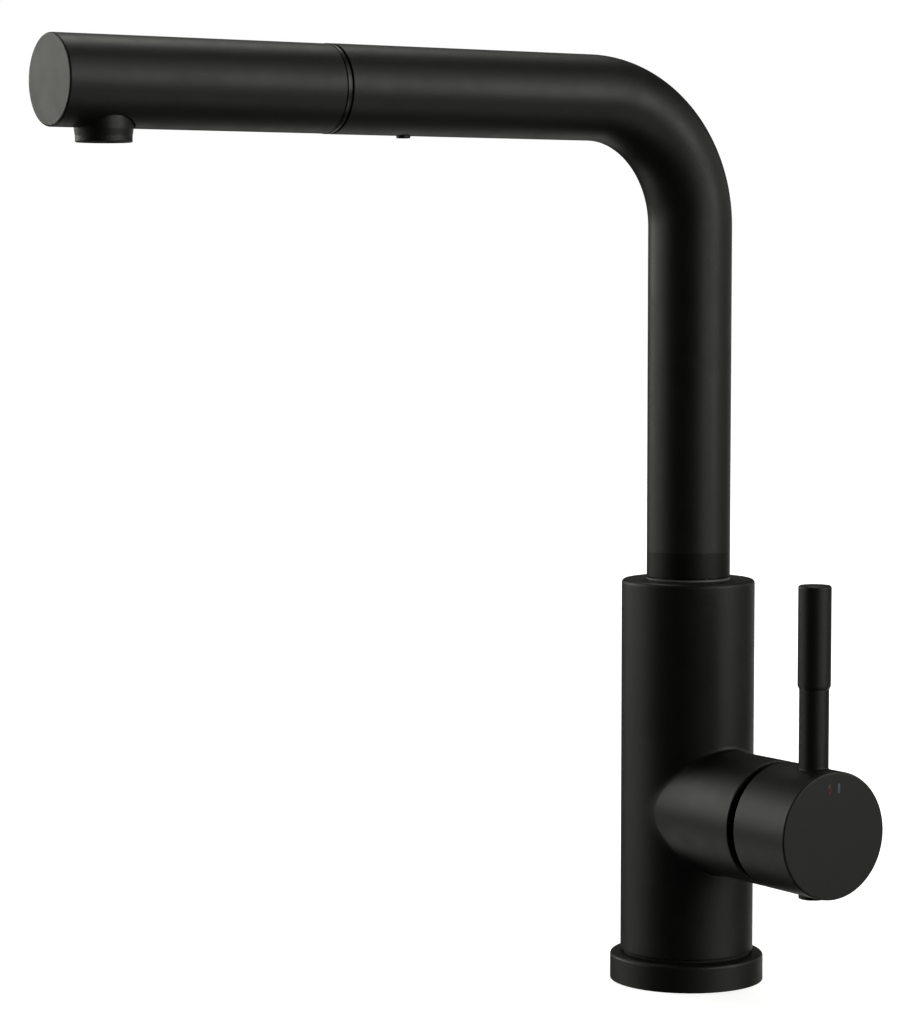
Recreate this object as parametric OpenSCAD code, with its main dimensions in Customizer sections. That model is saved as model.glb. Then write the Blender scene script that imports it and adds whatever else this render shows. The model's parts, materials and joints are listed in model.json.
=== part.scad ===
// Pull-out kitchen mixer tap: a straight column with a side lever, an L-shaped swivel spout,
// and a spray head that draws out of the end of the arm on its hose.
// The origin is the centre of the base, on the worktop. +Z is up, the arm points along -Y and
// the handle along +X. All sizes are in millimetres.

/* [Base] */
// Outside diameter of the base flange
flange_d = 57.8; // [57:0.1:62]
// Height of the base flange
flange_h = 10.2; // [10:0.1:12]
// Height of the recessed seal between the flange and the column
seal_h = 1.4; // [1.2:0.1:1.8]

/* [Column] */
// Outside diameter of the column
body_d = 50; // [50:0.1:52]
// Height of the top of the column above the worktop
body_top_z = 152; // [150:0.5:160]
// Wall of the column around its chamber
body_wall = 2.5; // [2.5:0.1:3]

/* [Valve and handle] */
// Height of the valve axis
valve_z = 66.5; // [66:0.1:72]
// Outside diameter of the branch and of the handle hub
branch_d = 46.4; // [46.2:0.1:47]
// Distance from the column axis to the front face of the branch
branch_x = 53.8; // [53.8:0.1:54]
// Gap between the branch and the hub
handle_gap = 3.6; // [3.6:0.1:3.8]
// Length of the hub
hub_len = 28.5; // [28:0.1:32]
// Distance from the column axis to the lever
lever_x = 74.25; // [74:0.05:75]
// Diameter of the lever's lower rod
lever_d = 10.8; // [10:0.1:11]
// Diameter of the lever's grip
grip_d = 12; // [11.6:0.1:13]
// Height at which the grip starts
grip_z = 118.2; // [115:0.1:125]
// Height of the lever's top
lever_top_z = 155.5; // [150:0.5:170]

/* [Spout] */
// Outside diameter of the spout tube
tube_d = 31.3; // [30.9:0.1:31.4]
// Wall of the spout tube
tube_wall = 1.5; // [1.5:0.1:1.6]
// Height of the arm's axis
arm_z = 330.6; // [300:0.1:380]
// Radius of the bend, on the tube's axis
bend_r = 46.7; // [44:0.1:50]
// Distance from the column axis to the end of the arm
arm_len = 156.9; // [155:0.1:190]
// Height of the slip ring that the spout turns on
washer_h = 0.7; // [0.6:0.1:1]
// Height of the collar at the foot of the tube
collar_h = 9.5; // [8:0.1:12]

/* [Spray head] */
// Outside diameter of the spray head
head_d = 31; // [30.8:0.1:31.1]
// Length of the spray head
head_len = 105.7; // [105:0.1:112]
// Distance from the head's end face back to the nozzle's axis
nozzle_back = 20; // [19:0.1:22]
// Diameter of the nozzle
nozzle_d = 19.1; // [18.6:0.1:19.2]
// How far the nozzle stands below the head
nozzle_drop = 4.7; // [4:0.1:6]

/* [Hose] */
// Outside diameter of the braided hose
hose_d = 13.6; // [13:0.1:13.7]

/* [Hidden] */
$fn = 96;
OVER = 1; // how far a cutting tool runs past what it cuts
FLAT_GAP = 0.05; // between flat faces that move over each other
RUN = 0.05; // radial clearance of a shaft in its bearing
SNUG = 0.05; // radial clearance of a fixed piece in its seat

// colours
BLACK_PAINT = "#1c1c1b";
BRASS = "#b9a15c";
STEEL = "#c3c5c8";
RUBBER = "#2a2a2c";
WHITE_POM = "#e6e3d8";
GREY_POM = "#8d9094";
CERAMIC = "#efece2";
COPPER = "#b97a56";
BRAID = "#5a5d61";
HOT = "#d2452c";
COLD = "#2f6fc4";

// base
flange_r = flange_d / 2;
body_z = flange_h + seal_h;
foot_edge = 0.3; // tiny bevel at the foot of the flange, the column and the hub
flange_edge = 1.2;
flange_bore_r = 21;
plug_z = 0.4; // the port block ends just above the worktop
plug_neck_r = 20.9;
plug_top_z = 28;
gasket_r = [22.6, 26.9];
gasket_h = 1.6;
seal_r = [21, 24];
port_r = 4.5; // tapping bore of an M10x1 thread
port_len = 12;
stud_r = 3.4; // tapping bore of an M8 thread
stud_len = 14;
hose_hole_r = 7.8;
tube_spots = [[10.2, -10.2], [10.2, 10.2], [14.4, 0]]; // hot, cold, mixed outlet
stud_spots = [[-12.5, -8], [-12.5, 8]];
feed_r = 4;
feed_bore_r = 3.2;
feed_z = [20, 52];
bush_bore_r = 7.15;
bush_rim_r = 9.6;
bush_rim_h = 1.5;

// column
body_r = body_d / 2;
chamber_r = body_r - body_wall;
chamber_top_z = body_top_z - 26;
swivel_r = 14.05; // bearing bore at the top of the column
body_edge = 1.4;
branch_r = branch_d / 2;
branch_edge = 0.5;
branch_bore_r = 20;
screw_z = body_top_z - 11;
screw_r = 2.45; // core of an M5 set screw
screw_dog_r = 1.5;
screw_dog_in = 1.4; // how far the dog reaches into the sleeve's groove
screw_heel = 0.6;
screw_sunk = 0.5;
key_hole_r = 1.45; // hexagon socket of the set screws
key_hole_len = 3;

// valve block and cartridge, along the valve axis
block_z = [46, 87.5];
block_x = [5, 14.5];
block_rim = 2.4; // the block's flat part stands this far outside the branch bore
block_neck_x = 10;
seat_x = 20;
hose_way_r = 8.2;
port_spots = [[-7.6, 3.5], [7.6, 3.5], [0, -9]]; // hot, cold, outlet: across and up from the axis
port_bore_r = 2.8;
base_x = [seat_x, seat_x + 5];
cartridge_r = 17.4;
seal_t = 1.2;
port_seal_r = 4.4;
fixed_x = [base_x[1], base_x[1] + 3.6];
fixed_r = 13.6;
moving_x = [fixed_x[1] + FLAT_GAP, 32];
moving_r = 11.6;
moving_z = -1.8; // the moving disc sits below the axis while the valve is shut
mix_r = 5.6; // pocket in the moving disc where the hot and the cold water mix
mix_depth = 1.6;
mix_z = moving_z - 3.5;
driver_x = [moving_x[1], 36];
driver_r = 12;
driver_flat = 9;
ball_x = 34.2;
ball_r = 2.6;
ball_hole_r = 2.8;
ball_pocket_r = ball_hole_r + 0.3;
ball_pocket = 0.8;
pivot_x = 44.5;
carrier_x = [37.5, 47.3];
carrier_r = 16.1;
rail_w = [driver_flat + 0.1, 11.4];
rail_h = 16;
rail_x = 32.6;
carrier_slot_z = [-6.5, 7.5]; // the stem's way through the carrier, below and above the axis
carrier_slot_side = 0.4;
housing_x = [base_x[1], 49.5];
housing_bore_r = 16.2;
housing_front_x = 47.5;
housing_hole_r = 10.5;
housing_lip = 2;
pin_r = 1.5;
pin_len = 26;
stem_w = 7.9;
stem_rod_r = 1.9;
stem_x = [40.5, 76.5];
nut_x = [45, 53];
nut_lip_r = 11.5;
nut_slot = [6, 3, 2];
nut_slot_r = 15;
cover_x = [nut_x[1], 56.5];
cover_r = [12.5, 19];
cover_edge = 0.6;

// handle
hub_r = branch_r;
hub_x = branch_x + handle_gap;
hub_end_x = hub_x + hub_len;
hub_edge = 0.5;
hub_rim_r = hub_r - 1.5;
hub_cavity_x = hub_x + 6.6;
hub_front = 3.9;
hub_shell_r = hub_r - 3;
boss_r = 9.5;
post_r = 7.6;
lever_r = lever_d / 2;
grip_r = grip_d / 2;
lever_seat = 19.5; // height of the lever's seat above the valve axis
lever_thread_r = 3;
lever_thread_len = 9;
lever_core_r = 3.2;
lever_core_top_z = lever_top_z - 6;
grip_bevel = [1.2, 0.55]; // height and depth of the bevel at the grip's foot
grip_edge = 0.9;
grub_len = 8;
plug_cap_r = 5.1;
plug_cap_out = 1.1;
plug_cap_edge = 0.4;
plug_stem = 5;
mark_size = [0.4, 1.2, 3.7];
mark_y = 2.15;
mark_up = 17;

// spout
tube_r = tube_d / 2;
tube_bore_r = tube_r - tube_wall;
collar_gap = 0.45; // the dark line under the collar
washer_z = [body_top_z, body_top_z + washer_h];
collar_z = washer_z[1] + collar_gap;
tube_z = collar_z + collar_h;
bend_z = arm_z - bend_r;
sleeve_r = 13.7;
sleeve_bore_r = 11;
sleeve_foot_z = body_top_z - 24;
sleeve_top_z = tube_z + 26;
collar_foot_r = 14.1; // the collar's foot, in the dark line above the slip ring
groove_r = 12.7;
glide_r = [groove_r + 0.03, swivel_r - RUN];
glide_h = 4;
glide_z = [sleeve_foot_z + 1.5, body_top_z - 5.5];
o_ring_z = body_top_z - 16;
o_ring_r = 0.65;
o_groove_half = 0.8;
stop_groove_r = 11.9;
stop_groove_h = 3.2;
swivel_half = 70; // degrees of swivel each way from straight ahead
stop_half = swivel_half + 7.2; // the stop groove also takes the screw's own width
seam = 0.2; // tiny bevel on each side of a seam
dock_r = tube_bore_r - SNUG;
dock_bore_r = 12.6;
dock_way_r = 8.2;
dock_in = [arm_len - 38, arm_len - 20];
dock_gap = 0.8;
dock_neck = 0.7; // depth of the dark line at the arm's end
ring_r = head_d / 2 + 0.15;
ring_end = arm_len + 2.4;
dock_screw_back = 29.8;
dock_head_r = 2.5;
dock_head_out = 0.8;
dock_head_edge = 0.4;
dock_thread_r = 1.95;
dock_thread_len = 5;
dock_key_r = 1.3;
dock_key_len = 1.5;
key_w = 3.2;
key_r = 13.4;
key_len = 9;
key_slot_len = 10;
key_play = [0.2, 0.3]; // play of the keys in their slots, out and across
dock_o_back = 14;
dock_o_depth = 0.7;
dock_o_wire = (dock_o_depth + RUN) / 2;

// spray head, measured along the arm
head_r = head_d / 2;
head_bore_r = head_r - 2;
head_gap = 0.15;
head_d0 = ring_end + head_gap;
head_end = head_d0 + head_len;
head_end_wall = 2.5;
head_edge = 0.3;
nozzle_at = head_end - nozzle_back;
nozzle_r = nozzle_d / 2;
nozzle_hole_r = nozzle_r + 0.75;
nozzle_wide_r = nozzle_r + 0.35;
nozzle_bottom = -head_r - nozzle_drop;
nozzle_step = nozzle_bottom + 3.1;
nozzle_shoulder = -11.5;
nozzle_top = -4;
nozzle_thread_r = 9;
nozzle_bore_r = 8.2;
nozzle_edge = 0.3;
outlet_gasket_r = 6.6;
collar_end = head_d0 + 8;
spigot_r = [11.2, 12.5];
spigot_d0 = head_d0 - 19;
nipple_r = 9.2;
nipple_d0 = head_d0 - 10;
way_flange = [collar_end + 2, collar_end + 6];
way_pipe_r = 9.5;
way_bore_r = 4.5;
socket_r = 12;
socket_top = 6;
socket_roof = -2.5;
valve_pocket = [nipple_d0 + 1.5, nipple_d0 + 18];
valve_pocket_r = 6.6;
valve_way_r = 3.2;
valve_room_r = 5.2;
valve_seat = 2.5;
valve_stop = 2;
poppet_r = 4.4;
poppet_t = 1.6;
poppet_stem_r = 1.2;
poppet_len = 7;
spring_r = 3.9;
spring_wire = 0.3;
spring_gap = 0.15;
spring_turns = 4;
filter_t = 1;
filter_in = 0.5;
filter_hole_r = 0.6;
filter_pitch = 1.7;
nut_d0 = head_d0 - 18;
nut_end = head_d0 + 3;
nut_r = 11.1;
nut_edge = [1.5, 0.3];
nut_play = 0.1;
ferrule_r = [6.85, 7.6];
ferrule_d0 = head_d0 - 32;
ferrule_rim_r = 9;
ferrule_rim_t = 1.2;
washer_t = 1.4;
insert_r = 8.1;
insert_z = [nozzle_bottom + 0.5, nozzle_bottom + 8];
screen_t = 0.7;
screen_hole_r = 0.8;
screen_pitch = 2.2;
jet_r = 0.6;
jet_pitch = 1.75;

// hose
hose_r = hose_d / 2;
hose_bore_r = 4.6;
hose_split = 60; // where the stretch that the head carries starts
hose_gap = 0.3;
hose_end = nipple_d0 - washer_t - ferrule_rim_t;
hose_foot_z = 1;

// ---- shapes that repeat ----

// A round bar standing along Z
module post(r, z0, z1, at = [0, 0]) {
  translate([at[0], at[1], z0]) cylinder(r = r, h = z1 - z0);
}

// A round bar along the valve axis, moved across and up from it
module valve_bar(r, x0, x1, at = [0, 0]) {
  translate([x0, at[0], valve_z + at[1]]) rotate([0, 90, 0]) cylinder(r = r, h = x1 - x0);
}

// A round bar along the arm, between two distances from the column axis
module arm_bar(r, d0, d1, up = 0) {
  translate([0, -d0, arm_z + up]) rotate([90, 0, 0]) cylinder(r = r, h = d1 - d0);
}

module post_ring(r, bore, z0, z1, at = [0, 0]) {
  difference() {
    post(r, z0, z1, at);
    post(bore, z0 - OVER, z1 + OVER, at);
  }
}

module valve_ring(r, bore, x0, x1, at = [0, 0]) {
  difference() {
    valve_bar(r, x0, x1, at);
    valve_bar(bore, x0 - OVER, x1 + OVER, at);
  }
}

module arm_ring(r, bore, d0, d1) {
  difference() {
    arm_bar(r, d0, d1);
    arm_bar(bore, d0 - OVER, d1 + OVER);
  }
}

// Lays a shape drawn along Z onto the valve axis or along the arm
module on_valve(x = 0) {
  translate([x, 0, valve_z]) rotate([0, 90, 0]) children();
}

module on_arm(d = 0) {
  translate([0, -d, arm_z]) rotate([90, 0, 0]) children();
}

// Points of a quarter round: corner (r, z) with the centre inside by e; up is 1 or -1
function quarter(r, z, e, up) = [
  for (i = [0:4]) let (a = up > 0 ? i * 22.5 : 90 - i * 22.5)
    [r - e + e * cos(a), z - up * e + up * e * sin(a)]
];

// A turned bar from z0 to z1 with rounded lower and upper edges
module turned(r, z0, z1, low, high) {
  rotate_extrude()
    polygon(concat([[0, z0]], quarter(r, z0, low, -1), quarter(r, z1, high, 1), [[0, z1]]));
}

// The same bar with straight bevels
module bevelled(r, z0, z1, low, high) {
  rotate_extrude()
    polygon([[0, z0], [r - low, z0], [r, z0 + low], [r, z1 - high], [r - high, z1], [0, z1]]);
}

// The quarter bend that joins the column of the spout to its arm
module elbow(r) {
  translate([0, -bend_r, bend_z]) rotate([90, 0, 90])
    rotate_extrude(angle = 90) translate([bend_r, 0]) circle(r = r);
}

// A pipe run up the column, round the bend and out along the arm
module spout_run(r, z0, d1, over = 0) {
  post(r, z0 - over, bend_z);
  elbow(r);
  arm_bar(r, bend_r, d1 + over);
}

// The hexagon socket of a screw, standing along Z
module hexagon(r, h) {
  cylinder(r = r, h = h, $fn = 6);
}

// A round-section ring about Z
module o_ring(r_mid, r_wire, z) {
  translate([0, 0, z]) rotate_extrude() translate([r_mid, 0]) circle(r = r_wire, $fn = 24);
}

// Places of holes packed in rings: one in the middle, six more in each ring outward
function hole_spots(rings, pitch) = concat([[0, 0]], [
  for (k = [1:rings]) for (i = [0:6 * k - 1])
    let (a = 360 * i / (6 * k)) [k * pitch * cos(a), k * pitch * sin(a)]
]);

// ---- base ----

module base_flange() {
  color(BLACK_PAINT) difference() {
    turned(flange_r, 0, flange_h, foot_edge, flange_edge);
    post(flange_bore_r, -OVER, flange_h + OVER);
    post_ring(gasket_r[1] + SNUG, gasket_r[0] - SNUG, -OVER, gasket_h);
  }
}

module deck_gasket() {
  color(RUBBER) post_ring(gasket_r[1], gasket_r[0], 0, gasket_h);
}

module base_seal() {
  color(RUBBER) post_ring(seal_r[1], seal_r[0], flange_h, body_z);
}

module port_block() {
  color(BRASS) difference() {
    union() {
      post(plug_neck_r, plug_z, body_z);
      post(chamber_r - SNUG, body_z, plug_top_z);
    }
    post(hose_hole_r, -OVER, plug_top_z + OVER);
    for (p = tube_spots) {
      post(port_r, -OVER, plug_z + port_len, p);
      post(feed_bore_r, 0, plug_top_z, p);
      post(feed_r + SNUG, feed_z[0], plug_top_z + OVER, p);
    }
    for (p = stud_spots) post(stud_r, -OVER, plug_z + stud_len, p);
  }
}

module hose_guide_bush() {
  color(WHITE_POM) difference() {
    union() {
      post(hose_hole_r - SNUG, plug_z, plug_top_z);
      post(bush_rim_r, plug_top_z, plug_top_z + bush_rim_h);
    }
    post(bush_bore_r, -OVER, plug_top_z + bush_rim_h + OVER);
  }
}

module feed_tube(p) {
  color(COPPER) post_ring(feed_r, feed_bore_r, feed_z[0], feed_z[1], p);
}

// ---- column ----

module column_shell() {
  color(BLACK_PAINT) difference() {
    union() {
      turned(body_r, body_z, body_top_z, foot_edge, body_edge);
      on_valve() bevelled(branch_r, 0, branch_x, 0, branch_edge);
    }
    post(chamber_r, body_z - OVER, chamber_top_z);
    post(swivel_r, chamber_top_z - OVER, body_top_z + OVER);
    valve_bar(branch_bore_r, 0, branch_x + OVER);
    translate([0, 0, screw_z]) rotate([-90, 0, 0])
      cylinder(r = screw_r + SNUG, h = body_r + OVER);
  }
}

module swivel_screw() {
  tip = sleeve_r - screw_dog_in;
  heel = swivel_r + screw_heel;
  tail = body_r - screw_sunk;
  color(STEEL) translate([0, 0, screw_z]) rotate([-90, 0, 0]) difference() {
    union() {
      translate([0, 0, tip]) cylinder(r = screw_dog_r, h = heel - tip);
      translate([0, 0, heel]) cylinder(r = screw_r, h = tail - heel);
    }
    translate([0, 0, tail - key_hole_len]) hexagon(key_hole_r, key_hole_len + OVER);
  }
}

module swivel_washer() {
  color(GREY_POM) difference() {
    bevelled(tube_r, washer_z[0], washer_z[1], 0, seam);
    post(swivel_r, washer_z[0] - OVER, washer_z[1] + OVER);
  }
}

// ---- valve block and cartridge ----

module valve_block() {
  color(BRASS) difference() {
    union() {
      intersection() {
        post(chamber_r - SNUG, block_z[0], block_z[1]);
        translate([block_x[0], -body_r, block_z[0]])
          cube([block_x[1] - block_x[0], body_d, block_z[1] - block_z[0]]);
        valve_bar(branch_bore_r + block_rim, 0, seat_x);
      }
      valve_bar(branch_bore_r - SNUG, block_neck_x, seat_x);
    }
    post(hose_way_r, block_z[0] - OVER, block_z[1] + OVER);
    for (i = [0:2]) {
      post(feed_bore_r, block_z[0] - OVER, valve_z + port_spots[i][1] + OVER, tube_spots[i]);
      post(feed_r + SNUG, block_z[0] - OVER, feed_z[1], tube_spots[i]);
      valve_bar(port_bore_r, tube_spots[i][0], seat_x + OVER, port_spots[i]);
    }
  }
}

module cartridge_base() {
  color(GREY_POM) difference() {
    valve_bar(cartridge_r, base_x[0], base_x[1]);
    for (p = port_spots) {
      valve_bar(port_bore_r, base_x[0] - OVER, base_x[1] + OVER, p);
      valve_bar(port_seal_r, base_x[0] - OVER, base_x[0] + seal_t, p);
    }
  }
}

module port_seals() {
  color(RUBBER) for (p = port_spots)
    valve_ring(port_seal_r - SNUG, port_bore_r, base_x[0], base_x[0] + seal_t, p);
}

module fixed_disc() {
  color(CERAMIC) difference() {
    valve_bar(fixed_r, fixed_x[0], fixed_x[1]);
    for (p = port_spots) valve_bar(port_bore_r, fixed_x[0] - OVER, fixed_x[1] + OVER, p);
  }
}

module moving_disc() {
  color(CERAMIC) difference() {
    valve_bar(moving_r, moving_x[0], moving_x[1], [0, moving_z]);
    valve_bar(mix_r, moving_x[0] - OVER, moving_x[0] + mix_depth, [0, mix_z]);
    valve_bar(ball_pocket_r, moving_x[1] - ball_pocket, moving_x[1] + OVER);
  }
}

module disc_driver() {
  color(WHITE_POM) difference() {
    intersection() {
      valve_bar(driver_r, driver_x[0], driver_x[1], [0, moving_z]);
      translate([driver_x[0], -driver_flat, valve_z - driver_r * 2])
        cube([driver_x[1] - driver_x[0], 2 * driver_flat, driver_r * 4]);
    }
    valve_bar(ball_hole_r, driver_x[0] - OVER, driver_x[1] + OVER);
  }
}

module cartridge_housing() {
  color(GREY_POM) difference() {
    valve_bar(cartridge_r, housing_x[0], housing_x[1]);
    valve_ring(housing_bore_r, fixed_r + SNUG, housing_x[0] + housing_lip, housing_front_x);
    valve_bar(fixed_r + SNUG, housing_x[0] - OVER, housing_front_x);
    valve_bar(housing_hole_r, housing_x[0], housing_x[1] + OVER);
  }
}

module stem_carrier() {
  color(WHITE_POM) difference() {
    union() {
      valve_bar(carrier_r, carrier_x[0], carrier_x[1]);
      for (side = [-1, 1])
        translate([rail_x, side < 0 ? -rail_w[1] : rail_w[0], valve_z - rail_h / 2])
          cube([carrier_x[0] - rail_x + OVER, rail_w[1] - rail_w[0], rail_h]);
    }
    translate([carrier_x[0] - OVER, -stem_w / 2 - carrier_slot_side, valve_z + carrier_slot_z[0]])
      cube([carrier_x[1] - carrier_x[0] + 2 * OVER, stem_w + 2 * carrier_slot_side,
            carrier_slot_z[1] - carrier_slot_z[0]]);
    cross_hole(pin_r);
  }
}

// The bore for the pin that the stem rocks on
module cross_hole(r) {
  translate([pivot_x, 0, valve_z]) rotate([90, 0, 0])
    cylinder(r = r, h = pin_len, center = true);
}

module stem_pin() {
  color(STEEL) cross_hole(pin_r);
}

module cartridge_stem() {
  color(BRASS) difference() {
    union() {
      translate([ball_x, 0, valve_z]) sphere(r = ball_r);
      valve_bar(stem_rod_r, ball_x, stem_x[0]);
      translate([stem_x[0], -stem_w / 2, valve_z - stem_w / 2])
        cube([stem_x[1] - stem_x[0], stem_w, stem_w]);
    }
    cross_hole(pin_r + RUN);
  }
}

module cartridge_nut() {
  color(BRASS) difference() {
    valve_bar(branch_bore_r - SNUG, nut_x[0], nut_x[1]);
    valve_bar(cartridge_r + SNUG, nut_x[0] - OVER, housing_x[1]);
    valve_bar(nut_lip_r, nut_x[0], nut_x[1] + OVER);
    for (a = [0:60:300]) on_valve(nut_x[1] - nut_slot[2]) rotate([0, 0, a + 30])
      translate([nut_slot_r, -nut_slot[1] / 2, 0]) cube(nut_slot + [0, 0, OVER]);
  }
}

module nut_cover() {
  color(BLACK_PAINT) difference() {
    on_valve() bevelled(cover_r[1], cover_x[0], cover_x[1], 0, cover_edge);
    valve_bar(cover_r[0], cover_x[0] - OVER, cover_x[1] + OVER);
  }
}

// ---- handle ----

module handle_hub() {
  color(BLACK_PAINT) difference() {
    on_valve() bevelled(hub_r, hub_x, hub_end_x, foot_edge, hub_edge);
    valve_bar(hub_rim_r, hub_x - OVER, hub_cavity_x);
    difference() {
      valve_bar(hub_shell_r, hub_cavity_x - OVER, hub_end_x - hub_front);
      valve_bar(boss_r, hub_cavity_x, hub_end_x);
      post(post_r, valve_z - hub_r, valve_z + hub_r, [lever_x, 0]);
    }
    translate([hub_cavity_x - OVER, -stem_w / 2 - SNUG, valve_z - stem_w / 2 - SNUG])
      cube([stem_x[1] - hub_cavity_x + OVER, stem_w + 2 * SNUG, stem_w + 2 * SNUG]);
    post(lever_r + SNUG, valve_z + lever_seat, valve_z + hub_r + OVER, [lever_x, 0]);
    post(lever_thread_r, valve_z + lever_seat - lever_thread_len - OVER, valve_z + hub_r,
         [lever_x, 0]);
    post(screw_r + SNUG, valve_z - hub_r, valve_z, [lever_x, 0]);
    post(plug_cap_r + SNUG, valve_z - hub_r - OVER, valve_z - lever_seat, [lever_x, 0]);
    for (side = [-1, 1]) mark(side, OVER, SNUG);
  }
}

// One of the two small inlays on the hub's end face
module mark(side, out = 0, grow = 0) {
  translate([hub_end_x - mark_size[0], side * mark_y - mark_size[1] / 2 - grow,
             valve_z + mark_up - mark_size[2] / 2 - grow])
    cube([mark_size[0] + out, mark_size[1] + 2 * grow, mark_size[2] + 2 * grow]);
}

module hot_mark() {
  color(HOT) mark(-1);
}

module cold_mark() {
  color(COLD) mark(1);
}

module hub_grub_screw() {
  top = valve_z - stem_w / 2;
  color(STEEL) difference() {
    post(screw_r, top - grub_len, top, [lever_x, 0]);
    translate([lever_x, 0, top - grub_len - OVER]) hexagon(key_hole_r, key_hole_len + OVER);
  }
}

module screw_cover() {
  seat = valve_z - lever_seat;
  color(BLACK_PAINT) translate([lever_x, 0, 0]) {
    bevelled(plug_cap_r, valve_z - hub_r - plug_cap_out, seat, plug_cap_edge, 0);
    post(screw_r, seat, seat + plug_stem);
  }
}

module lever_rod() {
  seat = valve_z + lever_seat;
  color(BLACK_PAINT) translate([lever_x, 0, 0]) {
    post(lever_thread_r - SNUG, seat - lever_thread_len, seat);
    post(lever_r, seat, grip_z);
    post(lever_core_r, grip_z, lever_core_top_z);
  }
}

module lever_grip() {
  foot_r = grip_r - grip_bevel[1];
  color(BLACK_PAINT) translate([lever_x, 0, 0]) difference() {
    rotate_extrude() polygon(concat(
      [[0, grip_z], [foot_r, grip_z], [grip_r, grip_z + grip_bevel[0]]],
      quarter(grip_r, lever_top_z, grip_edge, 1), [[0, lever_top_z]]));
    post(lever_core_r + SNUG, grip_z - OVER, lever_core_top_z);
  }
}

// ---- spout ----

module swivel_sleeve() {
  color(BRASS) difference() {
    union() {
      post(sleeve_r, sleeve_foot_z, tube_z);
      post(tube_bore_r - SNUG, tube_z, sleeve_top_z);
    }
    post(sleeve_bore_r, sleeve_foot_z - OVER, sleeve_top_z + OVER);
    for (z = glide_z) post_ring(swivel_r, groove_r, z, z + glide_h);
    post_ring(swivel_r, groove_r, o_ring_z - o_groove_half, o_ring_z + o_groove_half);
    translate([0, 0, screw_z - stop_groove_h / 2]) rotate([0, 0, 90 - stop_half])
      rotate_extrude(angle = 2 * stop_half)
        translate([stop_groove_r, 0]) square([swivel_r - stop_groove_r, stop_groove_h]);
  }
}

module glide_rings() {
  color(WHITE_POM) for (z = glide_z)
    post_ring(glide_r[1], glide_r[0], z + FLAT_GAP, z + glide_h - FLAT_GAP);
}

module friction_ring() {
  color(RUBBER) o_ring(groove_r + o_ring_r, o_ring_r, o_ring_z);
}

module spout_collar() {
  color(BLACK_PAINT) difference() {
    union() {
      post(collar_foot_r, washer_z[1] + FLAT_GAP, collar_z);
      bevelled(tube_r, collar_z, tube_z, seam, seam);
    }
    post(sleeve_r + SNUG, washer_z[1] - OVER, tube_z + OVER);
  }
}

module spout_tube() {
  color(BLACK_PAINT) difference() {
    spout_run(tube_r, tube_z, arm_len);
    spout_run(tube_bore_r, tube_z, arm_len, OVER);
    translate([0, -(arm_len - dock_screw_back), arm_z - tube_r - OVER])
      cylinder(r = dock_head_r + SNUG, h = tube_wall + 2 * OVER);
  }
}

// Two blocks across the bore: the keys, and the slots that they slide in
module keys(r, w, d0, d1) {
  intersection() {
    arm_bar(r, d0, d1);
    translate([-r, -d1, arm_z - w / 2]) cube([2 * r, d1 - d0, w]);
  }
}

module dock_sleeve() {
  groove = arm_len - dock_o_back;
  color(GREY_POM) difference() {
    arm_bar(dock_r, dock_in[0], ring_end);
    arm_bar(dock_way_r, dock_in[0] - OVER, ring_end);
    arm_bar(dock_bore_r, dock_in[1], ring_end + OVER);
    arm_ring(dock_bore_r + dock_o_depth, dock_bore_r - OVER, groove - dock_o_wire,
             groove + dock_o_wire);
    keys(key_r, key_w, arm_len - key_slot_len, ring_end + OVER);
    translate([0, -(arm_len - dock_screw_back), arm_z - dock_r - OVER])
      cylinder(r = dock_thread_r + SNUG, h = dock_thread_len + 2 * OVER);
  }
}

module dock_ring() {
  color(BLACK_PAINT) difference() {
    union() {
      arm_bar(ring_r - dock_neck, arm_len, arm_len + dock_gap);
      on_arm() bevelled(ring_r, arm_len + dock_gap, ring_end, seam, seam);
    }
    arm_bar(dock_r + SNUG, arm_len - OVER, ring_end + OVER);
  }
}

module dock_grip_ring() {
  color(RUBBER) on_arm()
    o_ring(dock_bore_r - RUN + dock_o_wire, dock_o_wire, arm_len - dock_o_back);
}

module dock_screw() {
  at = arm_len - dock_screw_back;
  head_z = arm_z - tube_r - dock_head_out;
  color(BLACK_PAINT) translate([0, -at, 0]) difference() {
    union() {
      bevelled(dock_head_r, head_z, arm_z - dock_r, dock_head_edge, 0);
      post(dock_thread_r, arm_z - dock_r, arm_z - dock_r + dock_thread_len);
    }
    translate([0, 0, head_z - OVER]) hexagon(dock_key_r, dock_key_len + OVER);
  }
}

// ---- hose ----

module hose_lower() {
  color(BRAID) difference() {
    spout_run(hose_r, hose_foot_z, hose_split);
    spout_run(hose_bore_r, hose_foot_z, hose_split, OVER);
  }
}

module hose_upper() {
  color(BRAID) arm_ring(hose_r, hose_bore_r, hose_split + hose_gap, hose_end);
}

module hose_ferrule() {
  color(STEEL) difference() {
    union() {
      arm_bar(ferrule_r[1], ferrule_d0, hose_end);
      arm_bar(ferrule_rim_r, hose_end, hose_end + ferrule_rim_t);
    }
    arm_bar(ferrule_r[0], ferrule_d0 - OVER, hose_end);
    arm_bar(hose_bore_r, hose_end - OVER, hose_end + ferrule_rim_t + OVER);
  }
}

module hose_nut() {
  color(BRASS) difference() {
    on_arm() bevelled(nut_r, nut_d0, nut_end, nut_edge[0], nut_edge[1]);
    arm_bar(ferrule_r[1] + nut_play, nut_d0 - OVER, hose_end);
    arm_bar(nipple_r + SNUG, hose_end, nut_end + OVER);
  }
}

module hose_washer() {
  color(RUBBER) arm_ring(nipple_r - nut_play, hose_bore_r, nipple_d0 - washer_t, nipple_d0);
}

// ---- spray head ----

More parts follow.
